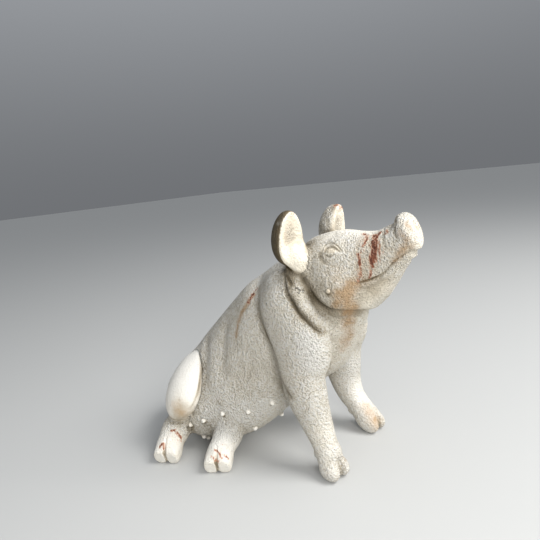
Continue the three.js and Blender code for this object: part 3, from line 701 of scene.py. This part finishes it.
# painted light: paler patches on the belly, the front of the shoulder, both forelegs and the pad of the
# snout
PAINTED_LIGHT = [
    ([(-200, 70, 110), (-170, -10, 130), (-140, -70, 150)], 60, 0.4),
    ([(-147, -236, 348), (-150, -240, 300)], 34, 0.6),
    ([(84, -205, 200), (80, -240, 60)], 50, 0.5),
    ([(-150, -215, 220), (-150, -235, 120), (-145, -265, 40)], 60, 0.2),
    ([(-208, 64, 90), (-200, 100, 80)], 30, 0.3),
    ([(-40, -420, 575), (-40, -400, 600)], 16, 0.4),
]
WORN = [
    ([(0, -230, 590), (0, -300, 590), (0, -350, 588)], 45, 0.75),
    ([(-40, -250, 582), (40, -250, 582)], 26, 0.6),
    ([(0, -440, 600), (0, -445, 565)], 40, 0.6),
    ([(-30, -372, 470), (-40, -340, 445), (-30, -320, 425)], 30, 0.6),
    ([(-66, -246, 560), (-67, -290, 560)], 16, 0.6),
    ([(-140, -245, 120), (-150, -262, 40)], 52, 0.5),
    ([(100, -225, 120), (100, -255, 35)], 52, 0.65),
]


def distance(p, place):
    return np.linalg.norm(p - place, axis=1)


def spots(p, rows, radius, power):
    """1 at each row's place and 0 well past the radius, with a sharper edge for a higher power."""
    return np.max([np.exp(-(distance(p, place) / radius)**power) for place, *_ in rows], axis=0)


def creases(p):
    """Dirty paint and painted shade along the creases and in the mouth, and painted shadow on the lower
    side of the lumps.
    """
    amount = np.zeros(len(p))
    for line, width, rise, fade in FOLDS + LINES:
        if rise < 0 and width < CREASE:
            share = min(0.5, -rise / 8) if width < 6 else 0.3
            amount = np.maximum(amount, stroke(p, line, 0.7 * width + 1.2, share, fade))
    # painted shadow below each lump
    for place, rise, radius in LUMPS:
        below = np.exp(-(distance(p + (0, 0, radius), place) / radius)**2)
        beside = np.clip(distance(p, place) / 2 - 0.42 * radius, 0, 1)
        amount = np.maximum(amount, 0.13 * rise * below * beside)
    return np.maximum(amount, stroke(p, MOUTH_LINE, 2.6, 0.36, 0.03))


def painted(p, rows):
    """How much of a mark lies at each point, on both sides alike but fainter on her left."""
    amount = np.zeros(len(p))
    for route, width, strength in rows:
        for line, share in zip(both_sides(route), (1, LEFT_SHARE)):
            far = nearness(p, line, 2.6 * width, 0)[0]
            amount = np.maximum(amount, share * strength * np.exp(-far / width**2))
    return amount


def hollows(p, out):
    """How deep in a hollow each point lies, from how close the skin is to points out from it."""
    amount = np.zeros(len(p))
    for reach, share in ((8, 0.35), (22, 0.35), (60, 0.3)):
        amount += share * np.clip(1 - skin_form(p + out * reach) / reach, 0, 1)
    return amount


def ear_masks(p):
    """The film on the backs of the ears, thinner on the left one, and their smooth cups."""
    film, cups = np.zeros(len(p)), np.zeros(len(p))
    for side, share in zip(SIDES, (1, 0.4)):
        q = ear_points(p, side)
        on_ear = ear_form(p, side) < 3
        back = on_ear * np.clip(ellipsoid(q, *EAR_SHELL) / 3 + 1.8, 0, 1)
        back *= np.clip((q[:, 1] + 11) / 5, 0, 1)
        film = np.maximum(film, share * back)
        cups = np.maximum(cups, on_ear * 0.8 * np.clip(-q[:, 1] / 8, 0, 1))
    return film, cups


def skin_masks(p, out):
    """What the paint is like at each point of the skin, from 0 to 1 for each kind of wear and for the
    painted shade and light.
    """
    smooth = np.clip(1 - ellipsoid(p, *HAUNCH_RIGHT) / 2, 0, 1)
    smooth = np.maximum(smooth, 0.85 * spots(p, HIND_TROTTERS, 70, 4))
    # whiter paint where it is worn smooth and on the feet; painted light on faces that look up and in the
    # listed patches, and a painted highlight on the teats
    chalk_and_highlight = 0.45 * smooth + 0.35 * np.clip(out[:, 2], 0, 1) + painted(p, PAINTED_LIGHT)
    chalk_and_highlight = np.maximum(chalk_and_highlight, 0.6 * spots(p, TEAT_LUMPS, TEAT_RADIUS, 6))
    chalk_and_highlight = np.maximum(chalk_and_highlight, 0.5 * spots(p, TROTTERS, 60, 4))
    for rows, radius in ((TEAT_LUMPS, TEAT_RADIUS), (WART_LUMPS, WART_RADIUS)):
        smooth = np.maximum(smooth, spots(p, rows, 1.2 * radius, 6))
    film, cups = ear_masks(p)
    return {
        # darker in the hollows, in the listed bands and along the creases: painted shade, with some dirty
        # paint
        "grime_and_shade": 0.9 * hollows(p, out) + painted(p, SHADE_AND_DIRT) + creases(p),
        "olive": film,
        "chalk_and_highlight": chalk_and_highlight,
        "smooth": np.maximum(np.maximum(smooth, cups), painted(p, WORN)),
        "rust": painted(p, RUST),
        "stain": painted(p, STAINS),
        "speck": painted(p, SPECKS),
    }


# ---- Ways of working in Blender ----

def only(*objects):
    bpy.ops.object.select_all(action="DESELECT")
    for obj in objects:
        obj.select_set(True)
    bpy.context.view_layer.objects.active = objects[0]


def mode(name):
    bpy.ops.object.mode_set(mode=name)


def finish_modifier(obj, kind, **settings):
    """Adds a modifier and applies it."""
    modifier = obj.modifiers.new(kind.title(), kind)
    for name, value in settings.items():
        setattr(modifier, name, value)
    only(obj)
    bpy.ops.object.modifier_apply(modifier=modifier.name)


def joined_copies(nodes, name):
    """One object from merged copies of solid nodes."""
    copies = []
    for part in nodes:
        copy = bpy.data.objects.new(name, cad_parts[part].data.copy())
        bpy.context.scene.collection.objects.link(copy)
        copies.append(copy)
    only(*copies)
    bpy.ops.object.join()
    obj = bpy.context.view_layer.objects.active
    obj.name = name
    mode("EDIT")
    bpy.ops.mesh.select_all(action="SELECT")
    bpy.ops.mesh.remove_doubles(threshold=1e-5)
    mode("OBJECT")
    return obj


def sculptor_points(mesh):
    co = np.empty(len(mesh.vertices) * 3)
    mesh.vertices.foreach_get("co", co)
    return co.reshape(-1, 3) / MM + ORIGIN


def set_points(mesh, p):
    mesh.vertices.foreach_set("co", ((p - ORIGIN) * MM).ravel())
    mesh.update()


def draw_onto(obj, form, rounds):
    """Moves every vertex onto the form, and gives the points and the way out from them."""
    p, out = settled(form, sculptor_points(obj.data), most=4, rounds=rounds)
    set_points(obj.data, p)
    return p, out


def refine(obj, wanted):
    """Subdivides the faces whose middle the test wants."""
    mesh = obj.data
    middles = np.empty(len(mesh.polygons) * 3)
    mesh.polygons.foreach_get("center", middles)
    chosen = wanted(middles.reshape(-1, 3) / MM + ORIGIN)
    only(obj)
    mode("EDIT")
    bpy.ops.mesh.select_mode(type="FACE")
    bpy.ops.mesh.select_all(action="DESELECT")
    mode("OBJECT")
    mesh.polygons.foreach_set("select", chosen)
    mode("EDIT")
    bpy.ops.mesh.subdivide(number_cuts=1)
    mode("OBJECT")


def within(p, line, reach):
    return nearness(p, line, reach, 0)[0] < reach**2


def shade(obj):
    only(obj)
    bpy.ops.object.shade_smooth()


def dress(obj, nodes, material):
    """Gives a piece its material, body and slot, in place of the solids' nodes."""
    obj.data.materials.clear()
    obj.data.materials.append(material)
    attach(obj, "root")
    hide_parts(*nodes)


def add_mask(mesh, name, values):
    attribute = mesh.attributes.new(name, "FLOAT", "POINT")
    attribute.data.foreach_set("value", np.clip(values, 0, 1).astype(np.float32))


# ---- Materials ----

def feed(tree, socket, value):
    """Links another node's output to a socket, or sets a plain value on it."""
    if isinstance(value, bpy.types.NodeSocket):
        tree.links.new(value, socket)
    else:
        socket.default_value = value


def node(tree, kind, settings=None, **inputs):
    """A shader node with its settings, and with its inputs fed."""
    made = tree.nodes.new("ShaderNode" + kind)
    for name, value in (settings or {}).items():
        setattr(made, name, value)
    for name, value in inputs.items():
        feed(tree, made.inputs[name], value)
    return made


def maths(tree, operation, *values):
    made = node(tree, "Math", {"operation": operation})
    for socket, value in zip(made.inputs, values):
        feed(tree, socket, value)
    return made.outputs[0]


def add(tree, a, b):
    return maths(tree, "ADD", a, b)


def times(tree, a, b):
    return maths(tree, "MULTIPLY", a, b)


def between(tree, value, low, high, to_low=0.0, to_high=1.0):
    """Eases from one value to another as the value given goes from low to high."""
    limits = {"From Min": low, "From Max": high, "To Min": to_low, "To Max": to_high}
    made = node(tree, "MapRange", {"interpolation_type": "SMOOTHSTEP"}, Value=value, **limits)
    return made.outputs["Result"]


def blend(tree, share, under, over):
    """Lays a share of one colour over another; a plain colour has three values."""
    made = node(tree, "Mix", {"data_type": "RGBA"})
    sockets = {socket.name: socket for socket in made.inputs if socket.enabled}
    feed(tree, sockets["Factor"], share)
    for name, colour in (("A", under), ("B", over)):
        feed(tree, sockets[name], colour if isinstance(colour, bpy.types.NodeSocket) else (*colour, 1))
    return next(socket for socket in made.outputs if socket.enabled)


def noise(tree, where, scale, detail, roughness=0.55):
    settings = {"Scale": scale, "Detail": detail, "Roughness": roughness}
    return node(tree, "TexNoise", Vector=where, **settings).outputs["Fac"]


def cells(tree, where, scale, feature="F1", **inputs):
    made = node(tree, "TexVoronoi", {"feature": feature}, Vector=where, Scale=scale, **inputs)
    return made.outputs["Distance"]


def cast_surface():
    """Orange-peel skin of the sand casting, its recesses, darkened with dirty paint and painted shade, and
    its crests, lightened with painted highlight, and sparse deep pits.
    """
    tree = bpy.data.node_groups.new("Cast surface", "ShaderNodeTree")
    sockets = tree.interface
    sockets.new_socket("Position", in_out="INPUT", socket_type="NodeSocketVector")
    sockets.new_socket("Roughness", in_out="INPUT", socket_type="NodeSocketFloat").default_value = 1.0
    for name in ("Height", "Recess", "Crest", "Pits"):
        sockets.new_socket(name, in_out="OUTPUT", socket_type="NodeSocketFloat")
    ins, outs = tree.nodes.new("NodeGroupInput"), tree.nodes.new("NodeGroupOutput")
    where, rough = ins.outputs["Position"], ins.outputs["Roughness"]
    grain = noise(tree, where, 420, 2, roughness=0.6)
    peel = cells(tree, where, 200, "SMOOTH_F1", Smoothness=0.35)
    dents = noise(tree, where, 80, 2)
    pitted = between(tree, noise(tree, where, 30, 3), 0.53, 0.64)
    pits = times(tree, between(tree, cells(tree, where, 110), 0.16, 0.06), pitted)
    raw = add(tree, grain, times(tree, peel, 0.85))
    raw = add(tree, raw, times(tree, dents, 0.6))
    height = maths(tree, "SUBTRACT", times(tree, raw, rough), times(tree, pits, 0.6))
    recess = times(tree, between(tree, raw, 1.1, 0.84), rough)
    crest = times(tree, between(tree, raw, 1.14, 1.4), rough)
    for name, value in (("Height", height), ("Recess", recess), ("Crest", crest), ("Pits", pits)):
        tree.links.new(value, outs.inputs[name])
    return tree


def mask(tree, name):
    return node(tree, "Attribute", {"attribute_name": name}).outputs["Fac"]


def weathered_and_shaded(tree, where, paint, surface, blotches):
    """Off-white paint, darker with dirty paint and painted shade in the hollows, whiter and with painted
    highlight on what stands out, with algae and tan stains.
    """
    recess, crest = surface.outputs["Recess"], surface.outputs["Crest"]
    patches = noise(tree, where, 9, 5)
    grime_and_shade = add(tree, mask(tree, "grime_and_shade"), between(tree, patches, 0.35, 0.7, -0.05, 0.1))
    grime_and_shade = add(tree, grime_and_shade, between(tree, blotches, 0.4, 0.7, -0.04, 0.07))
    # dirty paint and painted shade, darkest in the deepest hollows and folds
    colour = blend(tree, between(tree, grime_and_shade, 0.02, 0.6), paint.clean, paint.grimy_and_shaded)
    colour = blend(tree, between(tree, grime_and_shade, 0.45, 1.1, 0, 0.9), colour, paint.deep)
    # whiter paint and painted highlight: on upper faces, in the listed patches and on the crests of the
    # grain
    chalk_and_highlight = add(tree, mask(tree, "chalk_and_highlight"), times(tree, crest, 0.5))
    chalk_and_highlight = maths(tree, "SUBTRACT", chalk_and_highlight, times(tree, grime_and_shade, 0.7))
    colour = blend(tree, between(tree, chalk_and_highlight, 0.0, 0.8, 0, 0.85), colour, paint.chalk_and_highlight)
    # dirty paint and painted shade in the recesses of the grain, stronger where the skin is darker
    dirt_and_shade = times(tree, recess, between(tree, grime_and_shade, 0.0, 0.5, 0.42, 0.8))
    colour = blend(tree, dirt_and_shade, colour, paint.recess_dirt_and_shade)
    olive = add(tree, mask(tree, "olive"), between(tree, blotches, 0.35, 0.65, -0.2, 0.15))
    colour = blend(tree, between(tree, olive, 0.15, 0.8, 0, 0.95), colour, paint.olive)
    stain = times(tree, mask(tree, "stain"), between(tree, blotches, 0.3, 0.7, 0.6, 1.25))
    stain = add(tree, stain, times(tree, recess, 0.1))
    return blend(tree, between(tree, stain, 0.04, 0.9, 0, 0.82), colour, paint.stain)


def rust_runs(tree, where, paint, colour):
    """Broken runs of rust with a pale wash round them, and where the rust is thick."""
    runs = node(tree, "VectorMath", {"operation": "MULTIPLY"})
    tree.links.new(where, runs.inputs[0])
    runs.inputs[1].default_value = (1, 1, 0.3)
    streaks = between(tree, noise(tree, runs.outputs[0], 230, 3, 0.6), 0.35, 0.65, -0.38, 0.16)
    broken = add(tree, mask(tree, "rust"), streaks)
    colour = blend(tree, between(tree, broken, 0.14, 0.5, 0, 0.85), colour, paint.wash)
    rust = between(tree, broken, 0.45, 0.7)
    rusty = blend(tree, between(tree, noise(tree, where, 150, 3), 0.35, 0.65), paint.rust, paint.rust_dark)
    return blend(tree, times(tree, rust, 0.92), colour, rusty), rust


def painted_iron(paint, casting):
    """Off-white paint on cast iron, aged and with painted shade and light, with rust runs, specks and
    pits.
    """
    material = bpy.data.materials.new("painted_iron")
    material.use_nodes = True
    tree = material.node_tree
    shader = tree.nodes["Principled BSDF"]
    where = node(tree, "TexCoord").outputs["Object"]
    rough = between(tree, mask(tree, "smooth"), 0.0, 1.0, 1.0, 0.12)
    surface = node(tree, "Group", {"node_tree": casting}, Position=where, Roughness=rough)
    blotches = noise(tree, where, 34, 4)
    colour = weathered_and_shaded(tree, where, paint, surface, blotches)
    colour, rust = rust_runs(tree, where, paint, colour)
    ragged = between(tree, noise(tree, where, 260, 2), 0.35, 0.65, -0.45, 0.1)
    specks = between(tree, add(tree, mask(tree, "speck"), ragged), 0.3, 0.5)
    holes = maths(tree, "MAXIMUM", specks, times(tree, surface.outputs["Pits"], rough))
    colour = blend(tree, times(tree, holes, 0.8), colour, paint.hole)
    tree.links.new(colour, shader.inputs["Base Color"])
    dull = add(tree, between(tree, rust, 0, 1, 0.58, 0.85), times(tree, rough, 0.12))
    tree.links.new(dull, shader.inputs["Roughness"])
    shader.inputs["Specular IOR Level"].default_value = 0.35
    bump = node(tree, "Bump", Height=surface.outputs["Height"], Distance=0.009, Strength=1.0)
    tree.links.new(bump.outputs["Normal"], shader.inputs["Normal"])
    return material


# ---- Sizes and colours a user would change ----

def colour_setting(name, description, default):
    return bpy.props.FloatVectorProperty(
        name=name, description=description, subtype="COLOR", size=3, min=0, max=1, default=default)


def number_setting(name, description, default, **more):
    return bpy.props.FloatProperty(name=name, description=description, default=default, **more)


class SowPaint(bpy.types.PropertyGroup):
    clean: colour_setting("Paint", "Off-white paint where it is clean", (0.78, 0.715, 0.59))
    # whiter paint, and painted highlight on upper faces, patches and crests
    chalk_and_highlight: colour_setting("Chalk", "Whiter paint on what stands out", (0.86, 0.835, 0.775))
    # dirty paint and painted shade
    grimy_and_shaded: colour_setting("Grime", "Paint dulled by dirt", (0.44, 0.375, 0.275))
    # the darkest painted shade, with dirty paint, in the deepest folds
    deep: colour_setting("Old grime", "Dirt in the deepest folds", (0.115, 0.085, 0.04))
    olive: colour_setting("Algae", "Olive film on the backs of the ears", (0.085, 0.057, 0.018))
    stain: colour_setting("Stain", "Tan water stain below the rust", (0.50, 0.31, 0.15))
    rust: colour_setting("Rust", "Red-brown rust", (0.27, 0.085, 0.04))
    rust_dark: colour_setting("Dark rust", "Older rust", (0.14, 0.04, 0.022))
    wash: colour_setting("Rust wash", "Pale rust round the runs", (0.60, 0.31, 0.19))
    # dirty paint and painted shade in the recesses of the grain
    recess_dirt_and_shade: colour_setting("Recess", "Dirt between the bumps of the casting", (0.33, 0.285, 0.205))
    hole: colour_setting("Hole", "Dark where the paint has a hole", (0.05, 0.045, 0.035))


class SowCasting(bpy.types.PropertyGroup):
    facet: number_setting("Facet", "Size of the skin's facets before the fine places are refined",
                          0.0069, min=0.003, unit="LENGTH")
    grow: number_setting("Grow", "How far the solids are swelled to close the cuts between them",
                         0.0008, min=0, unit="LENGTH")


class SowStudio(bpy.types.PropertyGroup):
    floor: colour_setting("Floor", "Plain pale floor", (0.50, 0.50, 0.485))
    sky: number_setting("Sky", "Strength of the light from all round", 0.60, min=0)
    key: number_setting("Key light", "Power of the large light above", 215, unit="POWER")
    fill: number_setting("Fill light", "Power of the light beside the camera", 50, unit="POWER")
    lens: number_setting("Lens", "Focal length on a 36 mm sensor", 29.93, unit="CAMERA")


# ---- Operators ----

def fine_places(p):
    """Head, ears, narrower folds, feet, tail and teats, where the form turns quickly."""
    chosen = (((p - HEAD_PLACE) @ HEAD_AXES)[:, 1] < 30) & (p[:, 2] > 380)
    for line, width, *_ in FOLDS:
        if width < 13:
            chosen |= within(p, line, 16)
    chosen |= distance(p, TAIL_MIDDLE) < 60
    for rows, reach in ((TROTTERS, 62), (TEAT_LUMPS + DEWCLAW_LUMPS, 16)):
        for place, *_ in rows:
            chosen |= distance(p, place) < reach
    return chosen


def finer_places(p):
    """Eyes, mouth, creases, lumps and the clefts of the feet."""
    chosen = within(p, MOUTH_LINE, 13)
    for line in EYE_LINES:
        chosen |= within(p, line, 26)
    for line, width, *_ in FOLDS:
        if width < CREASE:
            chosen |= within(p, line, 8)
    for place, _, radius in LUMPS:
        chosen |= distance(p, place) < 1.9 * radius
    for line, *_ in CLEFTS:
        chosen |= within(p, line, 9)
    return chosen


def finest_places(p):
    """The lids."""
    return within(p, EYE_LINES[0], 16) | within(p, EYE_LINES[1], 16)


class SOW_OT_casting(bpy.types.Operator):
    """Make the casting: one skin over all the flesh pieces"""
    bl_idname = "sow.casting"
    bl_label = "Casting"

    def execute(self, context):
        settings = context.scene.sow_casting
        skin = joined_copies(FLESH, "casting")
        finish_modifier(skin, "DISPLACE", strength=settings.grow, mid_level=0)
        finish_modifier(skin, "REMESH", mode="VOXEL", voxel_size=settings.facet)
        draw_onto(skin, skin_form, rounds=3)
        for places in (fine_places, finer_places, finest_places):
            refine(skin, places)
        p, out = draw_onto(skin, skin_form, rounds=2)
        set_points(skin.data, p + relief(p)[:, None] * out)
        for name, values in skin_masks(p, out).items():
            add_mask(skin.data, name, values)
        shade(skin)
        dress(skin, FLESH, painted_iron(context.scene.sow_paint, cast_surface()))
        return {"FINISHED"}


class SOW_OT_eyes(bpy.types.Operator):
    """Make the two eyeballs between the lids"""
    bl_idname = "sow.eyes"
    bl_label = "Eyes"

    def execute(self, context):
        material = bpy.data.materials["painted_iron"]
        for name, route in zip(("eye_right", "eye_left"), both_sides(EYE)):
            middle, out = settled(skin_form, route[1])
            place = (middle[0] - EYEBALL_SUNK * out[0] - ORIGIN) * MM
            bpy.ops.object.select_all(action="DESELECT")
            bpy.ops.mesh.primitive_uv_sphere_add(
                segments=48, ring_count=32, radius=EYEBALL_RADIUS * MM, location=place)
            ball = bpy.context.view_layer.objects.active
            ball.name = f"{name}_ball"
            ball.scale = EYEBALL_SHAPE
            bpy.ops.object.transform_apply(location=True, rotation=True, scale=True)
            shade(ball)
            # each eyeball gets an even share of the darkening mask and of the smooth mask
            for mask_name, share in (("grime_and_shade", 0.28), ("smooth", 0.8)):
                add_mask(ball.data, mask_name, np.full(len(ball.data.vertices), share))
            dress(ball, [name], material)
        return {"FINISHED"}


# in metres: the floor, then each light's place from the middle of the statue and its width
FLOOR_SIZE = 60
KEY_PLACE, KEY_SIZE = (1.0, -2.9, 3.3), 2.2
FILL_PLACE, FILL_SIZE = (-1.4, -2.0, 0.8), 1.2
CAMERA_PLACE = (-0.85348, -0.73953, 0.73)
CAMERA_TURN = (78.576, 6.069, -51.224)  # degrees


class SOW_OT_studio(bpy.types.Operator):
    """Set the floor, the soft lights and the camera"""
    bl_idname = "sow.studio"
    bl_label = "Studio"

    def execute(self, context):
        scene = context.scene
        settings = scene.sow_studio
        bpy.ops.object.select_all(action="DESELECT")
        bpy.ops.mesh.primitive_plane_add(size=FLOOR_SIZE)
        floor = bpy.context.view_layer.objects.active
        floor.name = "studio_floor"
        material = bpy.data.materials.new("studio_floor")
        material.use_nodes = True
        shader = material.node_tree.nodes["Principled BSDF"]
        shader.inputs["Base Color"].default_value = (*settings.floor, 1)
        shader.inputs["Roughness"].default_value = 0.9
        floor.data.materials.append(material)

        world = bpy.data.worlds.new("studio")
        world.use_nodes = True
        tree = world.node_tree
        around = node(tree, "TexCoord").outputs["Generated"]
        up = node(tree, "SeparateXYZ", Vector=around).outputs["Z"]
        tint = blend(tree, between(tree, up, -0.05, 0.95, 0.30, 1.0), (0, 0, 0), (0.90, 0.94, 1.0))
        tree.links.new(tint, tree.nodes["Background"].inputs["Color"])
        tree.nodes["Background"].inputs["Strength"].default_value = settings.sky
        scene.world = world
        scene.view_settings.view_transform = "Standard"
        low, high = CAD_BOX
        middle = (Vector(low) + Vector(high)) / 2
        self.area_light("key_light", middle + Vector(KEY_PLACE), middle, KEY_SIZE, settings.key)
        self.area_light("fill_light", middle + Vector(FILL_PLACE), middle, FILL_SIZE, settings.fill)

        camera = bpy.data.cameras.new("camera")
        camera.lens = settings.lens
        camera.sensor_width = 36
        stand = bpy.data.objects.new("camera", camera)
        scene.collection.objects.link(stand)
        stand.location = CAMERA_PLACE
        stand.rotation_euler = [math.radians(angle) for angle in CAMERA_TURN]
        scene.camera = stand
        return {"FINISHED"}

    @staticmethod
    def area_light(name, place, target, size, power):
        light = bpy.data.lights.new(name, "AREA")
        light.size = size
        light.energy = power
        lamp = bpy.data.objects.new(name, light)
        bpy.context.scene.collection.objects.link(lamp)
        lamp.location = place
        lamp.rotation_euler = (target - place).to_track_quat("-Z", "Y").to_euler()


class SOW_PT_panel(bpy.types.Panel):
    bl_label = "Seated sow"
    bl_idname = "SOW_PT_panel"
    bl_space_type = "VIEW_3D"
    bl_region_type = "UI"
    bl_category = "Sow"

    def draw(self, context):
        for group_name in GROUPS:
            settings = getattr(context.scene, group_name)
            box = self.layout.box()
            for name in settings.__annotations__:
                box.prop(settings, name)
        for operator in OPERATORS:
            self.layout.operator(operator.bl_idname)


GROUPS = {"sow_casting": SowCasting, "sow_paint": SowPaint, "sow_studio": SowStudio}
OPERATORS = [SOW_OT_casting, SOW_OT_eyes, SOW_OT_studio]


def register():
    for name, kind in GROUPS.items():
        bpy.utils.register_class(kind)
        setattr(bpy.types.Scene, name, bpy.props.PointerProperty(type=kind))
    for kind in [*OPERATORS, SOW_PT_panel]:
        bpy.utils.register_class(kind)


def unregister():
    for kind in [SOW_PT_panel, *reversed(OPERATORS)]:
        bpy.utils.unregister_class(kind)
    for name, kind in reversed(GROUPS.items()):
        delattr(bpy.types.Scene, name)
        bpy.utils.unregister_class(kind)


def main():
    register()
    bpy.ops.sow.casting()
    bpy.ops.sow.eyes()
    bpy.ops.sow.studio()


if __name__ == "__main__":
    main()
